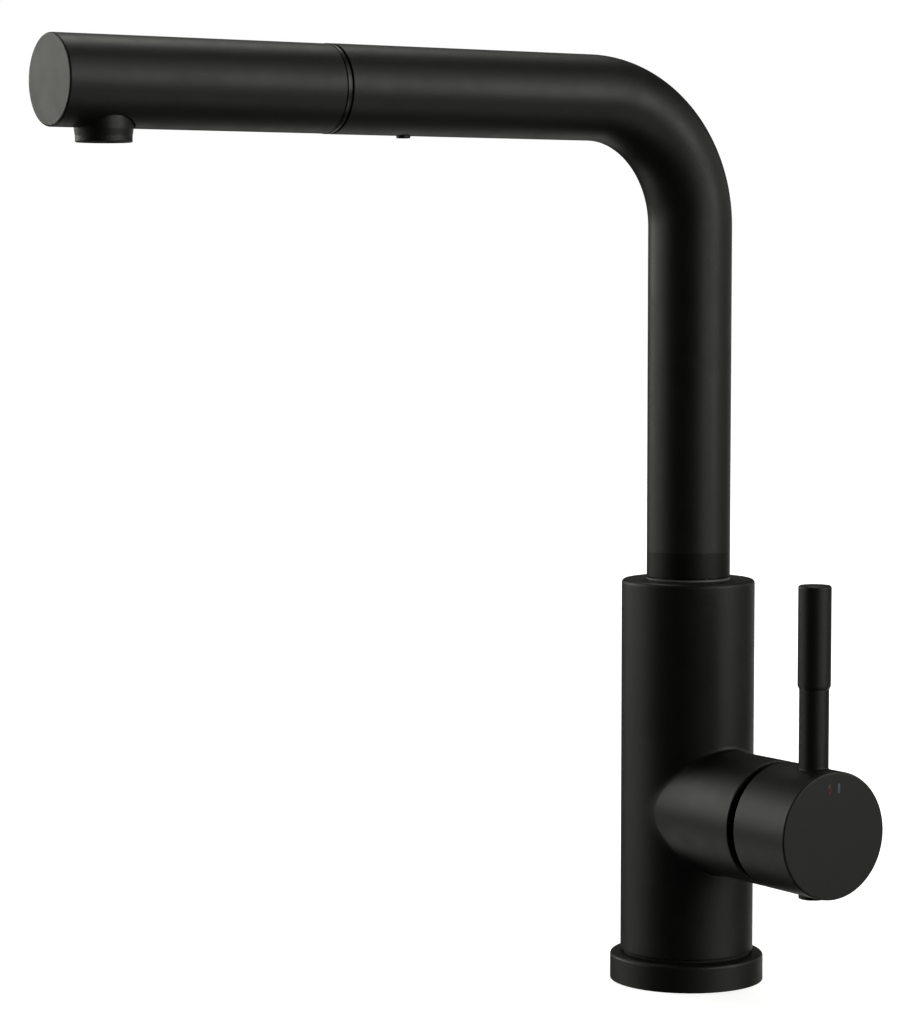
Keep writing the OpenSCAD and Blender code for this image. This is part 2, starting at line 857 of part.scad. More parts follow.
module head_collar() {
  color(GREY_POM) difference() {
    union() {
      arm_bar(spigot_r[1], spigot_d0, head_d0);
      arm_bar(head_bore_r - SNUG, head_d0, collar_end);
      keys(key_r - key_play[0], key_w - key_play[1], head_d0 - key_len, head_d0);
    }
    arm_bar(spigot_r[0], spigot_d0 - OVER, collar_end + OVER);
  }
}

module head_waterway() {
  color(GREY_POM) difference() {
    union() {
      arm_bar(nipple_r, nipple_d0, way_flange[0]);
      arm_bar(head_bore_r - SNUG, way_flange[0], way_flange[1]);
      arm_bar(way_pipe_r, way_flange[1], nozzle_at);
      intersection() {
        post(socket_r, arm_z + nozzle_shoulder, arm_z + socket_top, [0, -nozzle_at]);
        arm_bar(head_bore_r - SNUG, nozzle_at - socket_r, nozzle_at + socket_r);
      }
    }
    arm_bar(way_bore_r, nipple_d0 - OVER, nozzle_at);
    arm_bar(valve_pocket_r, nipple_d0 - OVER, valve_pocket[1]);
    post(way_bore_r, arm_z + socket_roof - OVER, arm_z, [0, -nozzle_at]);
    post(nozzle_thread_r + SNUG, arm_z + nozzle_shoulder - OVER, arm_z + socket_roof,
         [0, -nozzle_at]);
  }
}

module inlet_filter() {
  color(STEEL) difference() {
    arm_bar(valve_pocket_r - SNUG, nipple_d0 + filter_in, nipple_d0 + filter_in + filter_t);
    for (p = hole_spots(3, filter_pitch)) on_arm(nipple_d0) translate([p[0], p[1], -OVER])
      cylinder(r = filter_hole_r, h = filter_t + 3 * OVER, $fn = 16);
  }
}

module check_valve_body() {
  color(WHITE_POM) difference() {
    arm_bar(valve_pocket_r - SNUG, valve_pocket[0], valve_pocket[1]);
    arm_bar(valve_way_r, valve_pocket[0] - OVER, valve_pocket[1] + OVER);
    arm_bar(valve_room_r, valve_pocket[0] + valve_seat, valve_pocket[1] - valve_stop);
  }
}

module check_valve_poppet() {
  seat = valve_pocket[0] + valve_seat + FLAT_GAP;
  color(GREY_POM) {
    arm_bar(poppet_r, seat, seat + poppet_t);
    arm_bar(poppet_stem_r, seat + poppet_t, seat + poppet_len);
  }
}

module check_valve_spring() {
  x0 = valve_pocket[0] + valve_seat + FLAT_GAP + poppet_t + spring_gap + spring_wire;
  x1 = valve_pocket[1] - valve_stop - spring_wire;
  steps = 14;
  sides = 6;
  n = spring_turns * steps;
  points = [
    for (i = [0:n]) let (a = 360 * i / steps, z = x0 + (x1 - x0) * i / n)
      for (k = [0:sides - 1]) let (b = 360 * k / sides, r = spring_r + spring_wire * cos(b))
        [r * cos(a), r * sin(a), z + spring_wire * sin(b)]
  ];
  skin = [
    for (i = [0:n - 1]) for (k = [0:sides - 1])
      let (m = (k + 1) % sides, j = i * sides)
        [j + k, j + m, j + sides + m, j + sides + k]
  ];
  ends = [[for (k = [sides - 1:-1:0]) k], [for (k = [0:sides - 1]) n * sides + k]];
  color(STEEL) on_arm() polyhedron(points, concat(skin, ends));
}

module head_shell() {
  color(BLACK_PAINT) difference() {
    on_arm() bevelled(head_r, head_d0, head_end, seam, head_edge);
    arm_bar(head_bore_r, head_d0 - OVER, head_end - head_end_wall);
    post(nozzle_hole_r, arm_z - head_r - OVER, arm_z, [0, -nozzle_at]);
  }
}

module nozzle_ring() {
  color(BLACK_PAINT) translate([0, -nozzle_at, arm_z]) difference() {
    union() {
      bevelled(nozzle_r, nozzle_bottom, nozzle_step, nozzle_edge, 0);
      post(nozzle_wide_r, nozzle_step, nozzle_shoulder);
      post(nozzle_thread_r, nozzle_shoulder, nozzle_top);
    }
    post(nozzle_bore_r, nozzle_bottom - OVER, nozzle_top + OVER);
  }
}

module aerator_insert() {
  color(GREY_POM) translate([0, -nozzle_at, arm_z]) difference() {
    post(insert_r, insert_z[0], insert_z[1]);
    for (p = hole_spots(4, jet_pitch))
      translate([p[0], p[1], insert_z[0] - OVER])
        cylinder(r = jet_r, h = insert_z[1] - insert_z[0] + 2 * OVER, $fn = 16);
  }
}

module aerator_screen() {
  color(STEEL) translate([0, -nozzle_at, arm_z]) difference() {
    post(insert_r, insert_z[1], insert_z[1] + screen_t);
    for (p = hole_spots(3, screen_pitch)) translate([p[0], p[1], insert_z[1] - OVER])
      cylinder(r = screen_hole_r, h = screen_t + 2 * OVER, $fn = 16);
  }
}

module aerator_gasket() {
  color(RUBBER)
    translate([0, -nozzle_at, arm_z])
      post_ring(nozzle_thread_r, outlet_gasket_r, nozzle_top, socket_roof);
}

// ---- the pieces ----

base_flange();
deck_gasket();
base_seal();
port_block();
hose_guide_bush();
column_shell();
feed_tube(tube_spots[0]);  // hot_feed_tube
feed_tube(tube_spots[1]);  // cold_feed_tube
feed_tube(tube_spots[2]);  // outlet_feed_tube
valve_block();
cartridge_base();
port_seals();
fixed_disc();
cartridge_housing();
cartridge_nut();
nut_cover();
swivel_screw();
swivel_washer();
stem_carrier();
stem_pin();
moving_disc();
disc_driver();
cartridge_stem();
handle_hub();
hub_grub_screw();
screw_cover();
lever_rod();
lever_grip();
hot_mark();
cold_mark();
swivel_sleeve();
glide_rings();
friction_ring();
spout_collar();
spout_tube();
dock_sleeve();
dock_ring();
dock_grip_ring();
dock_screw();
hose_lower();
hose_upper();
hose_ferrule();
hose_nut();
hose_washer();
inlet_filter();
check_valve_body();
check_valve_poppet();
check_valve_spring();
head_shell();
head_collar();
head_waterway();
nozzle_ring();
aerator_insert();
aerator_screen();
aerator_gasket();
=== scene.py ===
"""Looks of the pull-out kitchen tap.

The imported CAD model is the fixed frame. Every outer piece is rebuilt here as a finer mesh in the
same place, the hose is one braided piece from the spout to the spray head, and the inner pieces
keep their CAD meshes under procedural materials. Lengths are in metres, +Z is up, the arm points
along -Y and the handle along +X.
"""

import json
import math

import bmesh
import bpy
from mathutils import Matrix, Vector


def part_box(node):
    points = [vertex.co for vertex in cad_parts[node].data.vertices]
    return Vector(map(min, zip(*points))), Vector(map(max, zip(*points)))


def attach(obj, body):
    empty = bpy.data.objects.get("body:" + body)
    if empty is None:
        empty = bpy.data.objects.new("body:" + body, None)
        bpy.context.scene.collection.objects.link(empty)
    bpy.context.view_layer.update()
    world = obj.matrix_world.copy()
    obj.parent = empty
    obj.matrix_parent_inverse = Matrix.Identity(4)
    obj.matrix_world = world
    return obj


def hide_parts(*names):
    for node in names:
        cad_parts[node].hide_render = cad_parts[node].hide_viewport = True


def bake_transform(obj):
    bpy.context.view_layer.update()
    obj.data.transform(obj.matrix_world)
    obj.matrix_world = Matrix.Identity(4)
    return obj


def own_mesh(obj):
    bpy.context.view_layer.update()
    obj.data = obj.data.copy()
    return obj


MM = 0.001
SEGMENTS = 192  # points round a turned piece
ARC_STEPS = 6  # faces across a rounded edge
SUPPORT = 0.12 * MM  # how far a flat face's outer ring lies from its rounded edge
WELD = 0.002 * MM  # points nearer than this become one
SHARP = math.radians(32)  # faces that meet at a steeper angle have a hard edge between them

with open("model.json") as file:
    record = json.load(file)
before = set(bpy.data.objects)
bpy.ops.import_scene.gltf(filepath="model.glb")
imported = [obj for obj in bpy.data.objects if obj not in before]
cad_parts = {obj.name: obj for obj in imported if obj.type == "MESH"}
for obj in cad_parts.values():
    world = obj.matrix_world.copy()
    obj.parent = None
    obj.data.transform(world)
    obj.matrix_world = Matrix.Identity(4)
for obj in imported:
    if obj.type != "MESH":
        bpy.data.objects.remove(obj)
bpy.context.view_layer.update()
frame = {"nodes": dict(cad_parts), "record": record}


# ---- where things are: the outer sizes come from the frame, the inner ones are named ----


def lo(node):
    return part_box(node)[0]


def hi(node):
    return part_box(node)[1]


def levels(node):
    """How high a node's underside and its top are."""
    return lo(node).z, hi(node).z


VALVE_Z = (lo("nut_cover").z + hi("nut_cover").z) / 2
ARM_Z = (lo("dock_sleeve").z + hi("dock_sleeve").z) / 2
LEVER_X = (lo("lever_grip").x + hi("lever_grip").x) / 2
NOZZLE_D = -(lo("nozzle_ring").y + hi("nozzle_ring").y) / 2
DOCK_SCREW_D = -(lo("dock_screw").y + hi("dock_screw").y) / 2
SWIVEL_SCREW_Z = (lo("swivel_screw").z + hi("swivel_screw").z) / 2
BEND_RADIUS = 46.7 * MM  # of the spout's axis
BEND_Z = ARM_Z - BEND_RADIUS  # where the bend starts
TUBE_WALL = 1.5 * MM
BEARING = 14.05 * MM  # radius of the bore that the spout turns in
FOOT_BORE = 21 * MM  # radius of the hole through the flange and its seal
HUB_SEAT = 19.5 * MM  # from the valve's axis to the seats of the lever and the screw's cover
STEM_HALF = 4 * MM  # half the square of the valve's stem
RUN = 0.05 * MM  # clearance between a piece and its seat

# Each axis as a matrix from turned coordinates, whose z runs along the axis
POST = Matrix.Identity(4)
VALVE = Matrix.Translation((0, 0, VALVE_Z)) @ Matrix.Rotation(math.radians(90), 4, "Y")
ARM = Matrix.Translation((0, 0, ARM_Z)) @ Matrix.Rotation(math.radians(90), 4, "X")
LEVER = Matrix.Translation((LEVER_X, 0, 0))
NOZZLE = Matrix.Translation((0, -NOZZLE_D, ARM_Z))
DOCK_SCREW = Matrix.Translation((0, -DOCK_SCREW_D, 0))

# Angles round those axes
FORWARD = 0.0  # on the column: towards the handle
REAR = math.radians(90)  # on the column: away from the arm
VALVE_UP = math.radians(180)
VALVE_DOWN = 0.0
ARM_DOWN = math.radians(270)


# ---- mesh building ----


def round_angles(count=SEGMENTS):
    return [2 * math.pi * i / count for i in range(count)]


ROUND = round_angles()
SMALL = round_angles(96)  # for a slim piece
HOSE = round_angles(48)
WIRE = round_angles(12)


def outline(*corners, closed=True):
    """Points (radius, z, wear) of an outline whose corners are (radius, z, rounding).

    A rounded corner becomes an arc, which the paint wears on, and each straight stretch beside
    one gets a point close to its end, so that smooth shading leaves the flats flat."""
    points = []
    count = len(corners)
    for i, (r, z, rounding) in enumerate(corners):
        here = Vector((r, z))
        if rounding == 0 or (not closed and i in (0, count - 1)):
            points.append((r, z, 0.0))
            continue
        before = Vector(corners[i - 1][:2]) - here
        after = Vector(corners[(i + 1) % count][:2]) - here
        half = before.angle(after) / 2
        back = rounding / math.tan(half)
        start = here + before.normalized() * back
        end = here + after.normalized() * back
        inward = (before.normalized() + after.normalized()).normalized()
        middle = here + inward * rounding / math.sin(half)
        turn = math.pi - 2 * half
        if (start - middle).cross(end - middle) < 0:
            turn = -turn
        if before.length > back + 3 * SUPPORT:
            points.append((*(start + before.normalized() * SUPPORT), 0.0))
        for k in range(ARC_STEPS + 1):
            share = k / ARC_STEPS
            spot = middle + Matrix.Rotation(turn * share, 2) @ (start - middle)
            points.append((*spot, math.sin(math.pi * share)))
        if after.length > back + 3 * SUPPORT:
            points.append((*(end + after.normalized() * SUPPORT), 0.0))
    return points


class Skin:
    """The faces of one piece, collected patch by patch and welded into one mesh."""

    def __init__(self):
        self.bm = bmesh.new()
        self.wear = self.bm.verts.layers.float.new("edge_wear")
        self.turns = None

    def mark_turns(self):
        """Stores how far round its ring each corner of a face lies, from 0 to 1."""
        self.turns = self.bm.loops.layers.uv.new("turn")

    def ring(self, points, wear=0.0):
        made = []
        for point in points:
            vert = self.bm.verts.new(point)
            vert[self.wear] = wear
            made.append(vert)
        return made

    def span(self, first, second, closed=True):
        """Faces between two rings, where a ring of one point is a pole."""
        count = max(len(first), len(second))
        for i in range(count if closed else count - 1):
            j = (i + 1) % count
            if len(first) == 1:
                self.bm.faces.new((first[0], second[j], second[i]))
            elif len(second) == 1:
                self.bm.faces.new((first[i], first[j], second[0]))
            else:
                face = self.bm.faces.new((first[i], first[j], second[j], second[i]))
                if self.turns:
                    for loop, turn in zip(face.loops, (i, i + 1, i + 1, i)):
                        loop[self.turns].uv = (turn / count, 0)

    def turned(self, points, place, angles=ROUND, sides=0, closed=False):
        """Turns an outline about the z axis of place, as a circle or a polygon of so many sides."""
        rings = []
        for r, z, wear in points:
            if r < WELD:
                rings.append(self.ring([place @ Vector((0, 0, z))], wear))
                continue
            reach = [r / flat_share(t, sides) for t in angles]
            spots = [Vector((s * math.cos(t), s * math.sin(t), z)) for s, t in zip(reach, angles)]
            rings.append(self.ring([place @ spot for spot in spots], wear))
        for first, second in zip(rings, rings[1:]):
            self.span(first, second)
        if closed:
            self.span(rings[-1], rings[0])

    def socket(self, place, flat, start, end, sides, angles, mouth, dip=0.0):
        """A blind hole with flat sides, that opens out to a round mouth."""
        rim = [place @ Vector((mouth * math.cos(t), mouth * math.sin(t), start)) for t in angles]
        reach = [flat / flat_share(t, sides) for t in angles]
        inside = [place @ Vector((r * math.cos(t), r * math.sin(t), start + dip))
                  for r, t in zip(reach, angles)]
        self.span(self.ring(rim), self.ring(inside))
        self.turned([(flat, start + dip, 0), (flat, end, 0), (0, end, 0)], place, angles, sides)

    def swept(self, stations, radius, angles=ROUND):
        """A pipe's wall through stations, each a matrix whose z runs along the pipe."""
        rings = []
        for station in stations:
            spots = [Vector((radius * math.cos(t), radius * math.sin(t), 0)) for t in angles]
            rings.append(self.ring([station @ spot for spot in spots]))
        for first, second in zip(rings, rings[1:]):
            self.span(first, second)

    def build(self, name):
        bmesh.ops.remove_doubles(self.bm, verts=self.bm.verts, dist=WELD)
        bmesh.ops.recalc_face_normals(self.bm, faces=self.bm.faces)
        mesh = bpy.data.meshes.new(name)
        self.bm.to_mesh(mesh)
        self.bm.free()
        mesh.shade_smooth()
        mesh.set_sharp_from_angle(angle=SHARP)
        piece = bpy.data.objects.new(name, mesh)
        bpy.context.scene.collection.objects.link(piece)
        return piece


def flat_share(angle, sides):
    """How near the middle a polygon's flat is, as a share of its outline's distance at that
    angle. It is 1 for a circle."""
    if not sides:
        return 1.0
    step = 2 * math.pi / sides
    return math.cos(angle % step - step / 2)


class Opening:
    """A round opening through a pipe's wall: at an angle and a place z along the pipe, of a
    given size, with a rounded lip. The pipe's wall has its radius about the z axis of place,
    and the patch around the opening reaches tall along the pipe and wide (an angle) round it."""

    RINGS = 8

    def __init__(self, place, wall, angle, z, size, lip, tall, wide, rows):
        self.place, self.wall, self.angle, self.z = place, wall, angle, z
        self.size, self.lip, self.tall, self.rows = size, lip, tall, rows
        self.step = 2 * math.pi / SEGMENTS
        self.half = round(wide / self.step)
        self.low, self.high = z - tall, z + tall
        turn = Matrix.Translation((0, 0, z)) @ Matrix.Rotation(angle, 4, "Z")
        outward = Matrix(((0, 0, 1, 0), (1, 0, 0, 0), (0, 1, 0, 0), (0, 0, 0, 1)))
        self.across = place @ turn @ outward
        quarter = math.pi / 2
        upright = [(i / rows - 0.5) * quarter for i in range(rows)]
        level = [(i / (2 * self.half) - 0.5) * quarter for i in range(2 * self.half)]
        self.angles = upright + [t + quarter for t in level]
        self.angles += [t + 2 * quarter for t in upright] + [t + 3 * quarter for t in level]

    def border(self):
        """Offsets (angle, z) of the patch's edge, one for each of the opening's angles."""
        columns = [self.step * i for i in range(-self.half, self.half + 1)]
        rows = [self.tall * (2 * i / self.rows - 1) for i in range(self.rows + 1)]
        right = [(columns[-1], v) for v in rows[:-1]]
        top = [(u, self.tall) for u in columns[:0:-1]]
        left = [(columns[0], v) for v in rows[:0:-1]]
        return right + top + left + [(u, -self.tall) for u in columns[:-1]]

    def on_wall(self, angle, z):
        return self.place @ Vector((self.wall * math.cos(angle), self.wall * math.sin(angle), z))

    def height(self, u):
        return math.sqrt(self.wall**2 - u**2)

    def saddle(self, radius, rise=0.0):
        """A ring about the opening's axis, rise above the pipe's wall."""
        spots = []
        for t in self.angles:
            u, v = radius * math.cos(t), radius * math.sin(t)
            spots.append(self.across @ Vector((u, v, self.height(u) + rise)))
        return spots

    def patch(self, skin):
        """The wall between the opening's lip and the straight border of its patch."""
        edge = self.size + self.lip
        rings = []
        for k in range(self.RINGS + 1):
            share = (k / self.RINGS) ** 1.4
            spots = []
            for t, (around, along) in zip(self.angles, self.border()):
                near = math.asin(edge * math.cos(t) / self.wall)
                level = edge * math.sin(t)
                angle = self.angle + near + (around - near) * share
                spots.append(self.on_wall(angle, self.z + level + (along - level) * share))
            rings.append(skin.ring(spots))
        for first, second in zip(rings, rings[1:]):
            skin.span(first, second)

    def edge(self, skin, rise, wear):
        """The opening's rounded edge: a fillet that climbs out along a branch if rise is 1, an
        edge that rolls over into the opening if it is -1. Returns the ring where it ends."""
        rings = []
        for k in range(ARC_STEPS + 1):
            turn = math.pi / 2 * k / ARC_STEPS
            radius = self.size + self.lip * (1 - math.sin(turn))
            spots = self.saddle(radius, rise * self.lip * (1 - math.cos(turn)))
            rings.append(skin.ring(spots, wear * math.sin(2 * turn)))
        for first, second in zip(rings, rings[1:]):
            skin.span(first, second)
        return rings[-1]

    def level_ring(self, skin, radius, height):
        spots = [Vector((radius * math.cos(t), radius * math.sin(t), height)) for t in self.angles]
        return skin.ring([self.across @ spot for spot in spots])


def pierced(skin, *openings):
    """The ring of a pipe's wall that holds openings side by side, in order of angle."""
    first = openings[0]
    levels = [first.z + first.tall * (2 * i / first.rows - 1) for i in range(first.rows + 1)]
    for opening, following in zip(openings, openings[1:] + openings[:1]):
        opening.patch(skin)
        start = round(opening.angle / opening.step) + opening.half
        stop = round(following.angle / following.step) - following.half
        if stop <= start:
            stop += SEGMENTS
        angles = [opening.step * i for i in range(start, stop + 1)]
        rows = [skin.ring([opening.on_wall(angle, z) for angle in angles]) for z in levels]
        for lower, upper in zip(rows, rows[1:]):
            skin.span(lower, upper, closed=False)


# ---- materials ----


class Finish:
    """A procedural material: a Principled shader and the textures that drive it. Its textures
    lie in the piece's own coordinates, in metres."""

    def __init__(self, name, metallic=0.0, ior=1.5):
        self.material = bpy.data.materials.new(name)
        self.material.use_nodes = True
        self.tree = self.material.node_tree
        self.tree.nodes.clear()
        output = self.tree.nodes.new("ShaderNodeOutputMaterial")
        self.shader = self.tree.nodes.new("ShaderNodeBsdfPrincipled")
        self.tree.links.new(self.shader.outputs["BSDF"], output.inputs["Surface"])
        self.shader.inputs["Metallic"].default_value = metallic
        self.shader.inputs["IOR"].default_value = ior
        self.where = self.tree.nodes.new("ShaderNodeTexCoord").outputs["Object"]
        self.normal = None

    def link(self, source, node, key):
        """Connects a socket, or sets a plain value."""
        if isinstance(source, bpy.types.NodeSocket):
            self.tree.links.new(source, node.inputs[key])
        else:
            node.inputs[key].default_value = source

    def math(self, operation, first, second=0.0):
        node = self.tree.nodes.new("ShaderNodeMath")
        node.operation = operation
        self.link(first, node, 0)
        self.link(second, node, 1)
        return node.outputs[0]

    def noise(self, size, detail=3.0, stretch=(1, 1, 1), seed=0.0):
        """Noise from 0 to 1 whose lumps are about size across, drawn out along each axis."""
        mapping = self.tree.nodes.new("ShaderNodeMapping")
        mapping.inputs["Location"].default_value = (seed, seed * 0.7, seed * 1.3)
        mapping.inputs["Scale"].default_value = [1 / s for s in stretch]
        self.link(self.where, mapping, "Vector")
        node = self.tree.nodes.new("ShaderNodeTexNoise")
        node.inputs["Scale"].default_value = 1 / size
        node.inputs["Detail"].default_value = detail
        self.link(mapping.outputs[0], node, "Vector")
        return node.outputs["Fac"]

    def attribute(self, name):
        node = self.tree.nodes.new("ShaderNodeAttribute")
        node.attribute_name = name
        return node.outputs["Fac"]

    def spread(self, value, low, high, start=0.3, end=0.7):
        """Maps a value from start..end onto low..high."""
        node = self.tree.nodes.new("ShaderNodeMapRange")
        for key, number in (("From Min", start), ("From Max", end),
                            ("To Min", low), ("To Max", high), ("Value", value)):
            self.link(number, node, key)
        return node.outputs["Result"]

    def mix(self, share, first, second):
        """Mixes two colours, each a plain one or a socket."""
        node = self.tree.nodes.new("ShaderNodeMix")
        node.data_type = "RGBA"
        self.link(share, node, "Factor")
        for key, colour in (("A", first), ("B", second)):
            socket = next(s for s in node.inputs if s.name == key and s.type == "RGBA")
            if isinstance(colour, bpy.types.NodeSocket):
                self.tree.links.new(colour, socket)
            else:
                socket.default_value = (*colour, 1.0)
        return next(s for s in node.outputs if s.type == "RGBA")

    def bump(self, height, depth):
        """Raises the surface by height, a value from 0 to 1, times depth."""
        node = self.tree.nodes.new("ShaderNodeBump")
        node.inputs["Strength"].default_value = 1.0
        node.inputs["Distance"].default_value = depth
        self.link(height, node, "Height")
        if self.normal:
            self.link(self.normal, node, "Normal")
        self.normal = node.outputs["Normal"]

    def done(self, colour, roughness):
        self.link(colour, self.shader, "Base Color")
        self.link(roughness, self.shader, "Roughness")
        if self.normal:
            self.link(self.normal, self.shader, "Normal")
        return self.material


def black_paint(name, gloss=(0.43, 0.50), specular=0.5):
    """Satin black powder coat: fine grain, a faint orange peel and edges rubbed a little bare."""
    finish = Finish(name)
    finish.shader.inputs["Specular IOR Level"].default_value = specular
    blotch = finish.noise(35 * MM, 4)
    colour = finish.mix(blotch, (0.0028, 0.0028, 0.0027), (0.0050, 0.0049, 0.0046))
    rubbed = finish.math("MULTIPLY", finish.attribute("edge_wear"), finish.noise(6 * MM, 5, seed=3))
    rubbed = finish.spread(rubbed, 0.0, 1.0, 0.38, 0.75)
    colour = finish.mix(rubbed, colour, (0.014, 0.0135, 0.0125))
    sheen = finish.spread(finish.noise(9 * MM, 4, seed=7), *gloss)
    roughness = finish.math("SUBTRACT", sheen, finish.math("MULTIPLY", rubbed, 0.06))
    finish.bump(finish.noise(1.3 * MM, 2, seed=1), 0.006 * MM)
    finish.bump(finish.noise(0.22 * MM, 2, seed=2), 0.003 * MM)
    return finish.done(colour, roughness)


def metal(name, dark, light, brushed=(1, 1, 1), roughness=(0.24, 0.40)):
    """A bare metal with a machined or drawn grain that runs along its stretched axis."""
    finish = Finish(name, metallic=1.0)
    grain = finish.noise(0.25 * MM, 4, stretch=brushed)
    stain = finish.noise(12 * MM, 4, seed=5)
    colour = finish.mix(finish.spread(stain, 0.0, 1.0), dark, light)
    finish.bump(grain, 0.004 * MM)
    return finish.done(colour, finish.spread(grain, *roughness))


def rubber(name, dark, light):
    """Moulded black rubber, matte, with a dusty bloom in patches."""
    finish = Finish(name)
    bloom = finish.noise(4 * MM, 5)
    colour = finish.mix(finish.spread(bloom, 0.0, 1.0), dark, light)
    finish.bump(finish.noise(0.3 * MM, 3, seed=4), 0.008 * MM)
    return finish.done(colour, finish.spread(bloom, 0.62, 0.8))


def moulded(name, dark, light, roughness=(0.38, 0.52)):
    """Moulded acetal: waxy, with a fine tool texture and faint flow shading."""
    finish = Finish(name, ior=1.48)
    finish.shader.inputs["Subsurface Weight"].default_value = 0.05
    finish.shader.inputs["Subsurface Scale"].default_value = 1 * MM
    flow = finish.noise(8 * MM, 3, stretch=(1, 1, 3))
    colour = finish.mix(finish.spread(flow, 0.0, 1.0), dark, light)
    finish.bump(finish.noise(0.18 * MM, 2, seed=6), 0.004 * MM)
    return finish.done(colour, finish.spread(finish.noise(2 * MM, 3, seed=8), *roughness))


def ceramic():
    """Lapped alumina: pale, dense and faintly speckled."""
    finish = Finish("ceramic", ior=1.7)
    speck = finish.noise(0.35 * MM, 5)
    colour = finish.mix(finish.spread(speck, 0.0, 1.0), (0.78, 0.76, 0.70), (0.86, 0.84, 0.79))
    finish.bump(finish.noise(0.1 * MM, 2, seed=9), 0.001 * MM)
    return finish.done(colour, finish.spread(speck, 0.22, 0.34))


def enamel(name, dark, light):
    """A dab of enamel that fills a shallow mark, slightly uneven."""
    finish = Finish(name)
    pool = finish.noise(0.7 * MM, 3)
    colour = finish.mix(finish.spread(pool, 0.0, 1.0), dark, light)
    finish.bump(pool, 0.02 * MM)
    return finish.done(colour, finish.spread(pool, 0.30, 0.42))


def hose_braid():
    """A nylon braid: two families of strands that wind opposite ways and pass over and under
    each other. The angle round the hose is stored in the mesh, and the way along it is the
    distance from the column's axis, so the braid keeps its scale however far the hose is drawn."""
    strands = 16
    pitch = 34 * MM
    finish = Finish("hose_braid")
    split = finish.tree.nodes.new("ShaderNodeSeparateXYZ")
    finish.link(finish.where, split, 0)
    squares = finish.math("ADD", finish.math("POWER", split.outputs[0], 2.0),
                          finish.math("POWER", split.outputs[1], 2.0))
    along = finish.math("DIVIDE", finish.math("SQRT", squares), pitch)
    map_node = finish.tree.nodes.new("ShaderNodeUVMap")
    map_node.uv_map = "turn"
    turn = finish.tree.nodes.new("ShaderNodeSeparateXYZ")
    finish.link(map_node.outputs[0], turn, 0)
    around = turn.outputs[0]
    total = finish.math("MULTIPLY", finish.math("ADD", around, along), strands)
    other = finish.math("MULTIPLY", finish.math("SUBTRACT", around, along), strands)
    right = finish.math("PINGPONG", total, 0.5)
    left = finish.math("PINGPONG", other, 0.5)
    parity = finish.math("ADD", finish.math("FLOOR", total), finish.math("FLOOR", other))
    over = finish.math("GREATER_THAN", finish.math("PINGPONG", parity, 1.0), 0.5)
    crown = finish.math("ADD", finish.math("MULTIPLY", right, over),
                        finish.math("MULTIPLY", left, finish.math("SUBTRACT", 1.0, over)))
    threads = finish.noise(0.16 * MM, 2)
    # painted shade: the colour goes near black in the grooves between strands and lightest on their
    # crowns, mixed with the threads' own grain
    groove_shade_and_threads = finish.math("MULTIPLY", crown, finish.spread(threads, 1.2, 2.0))
    colour = finish.mix(groove_shade_and_threads, (0.012, 0.012, 0.013), (0.115, 0.118, 0.122))
    finish.bump(crown, 0.5 * MM)
    finish.bump(threads, 0.02 * MM)
    return finish.done(colour, finish.spread(crown, 0.62, 0.42, 0.0, 0.5))


FLOOR_GLOW = (0.8, 1.0)  # by the tap, and away from it
GLOW_SPREAD = (0.05, 0.4)  # how far out the glow starts to rise, and where it is full


def studio_floor():
    """A pale matte worktop that glows a little less by the tap, as if in its shade."""
    finish = Finish("studio_floor", ior=1.45)
    mottle = finish.noise(60 * MM, 4)
    colour = finish.mix(mottle, (0.88, 0.88, 0.875), (0.91, 0.91, 0.905))
    away = finish.tree.nodes.new("ShaderNodeVectorMath")
    away.operation = "LENGTH"
    finish.link(finish.where, away, 0)
    glow = finish.spread(away.outputs["Value"], *FLOOR_GLOW, *GLOW_SPREAD)
    finish.link(glow, finish.shader, "Emission Strength")
    finish.shader.inputs["Emission Color"].default_value = (1, 1, 1, 1)
    finish.shader.inputs["Specular IOR Level"].default_value = 0.1
    return finish.done(colour, 0.8)


FINISHES = {
    "black_paint": black_paint("black_paint"),
    "ring_paint": black_paint("ring_paint", gloss=(0.30, 0.36)),
    "collar_paint": black_paint("collar_paint", specular=0.3),
    "brass": metal("brass", (0.50, 0.36, 0.16), (0.66, 0.50, 0.25)),
    "steel": metal("steel", (0.46, 0.46, 0.47), (0.62, 0.62, 0.63), roughness=(0.2, 0.34)),
    "copper": metal("copper", (0.60, 0.28, 0.16), (0.78, 0.42, 0.28), brushed=(1, 1, 9)),
    "rubber": rubber("rubber", (0.010, 0.010, 0.0105), (0.022, 0.022, 0.022)),
    # the seal's rubber, darker than the rubber above it: painted shade for the recess it sits in
    "seal_rubber_painted_shade": rubber("seal_rubber_painted_shade", (0.003, 0.003, 0.003), (0.007, 0.007, 0.007)),
    "white_pom": moulded("white_pom", (0.68, 0.66, 0.60), (0.76, 0.74, 0.69)),
    "grey_pom": moulded("grey_pom", (0.19, 0.195, 0.205), (0.24, 0.245, 0.255)),
    "slip_ring": moulded("slip_ring", (0.125, 0.128, 0.132), (0.155, 0.158, 0.162)),
    "ceramic": ceramic(),
    "hose_braid": hose_braid(),
    "hot_enamel": enamel("hot_enamel", (0.10, 0.018, 0.012), (0.14, 0.030, 0.020)),
    "cold_enamel": enamel("cold_enamel", (0.075, 0.095, 0.135), (0.10, 0.13, 0.19)),
}


# ---- pieces ----


def settle(skin, name, body, slot="black_paint", finish=None):
    """Finishes a piece that stands for the CAD node of the same name."""
    piece = skin.build(name + "_skin")
    piece.data.materials.append(FINISHES[finish or slot])
    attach(piece, body)
    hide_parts(name)
    return piece


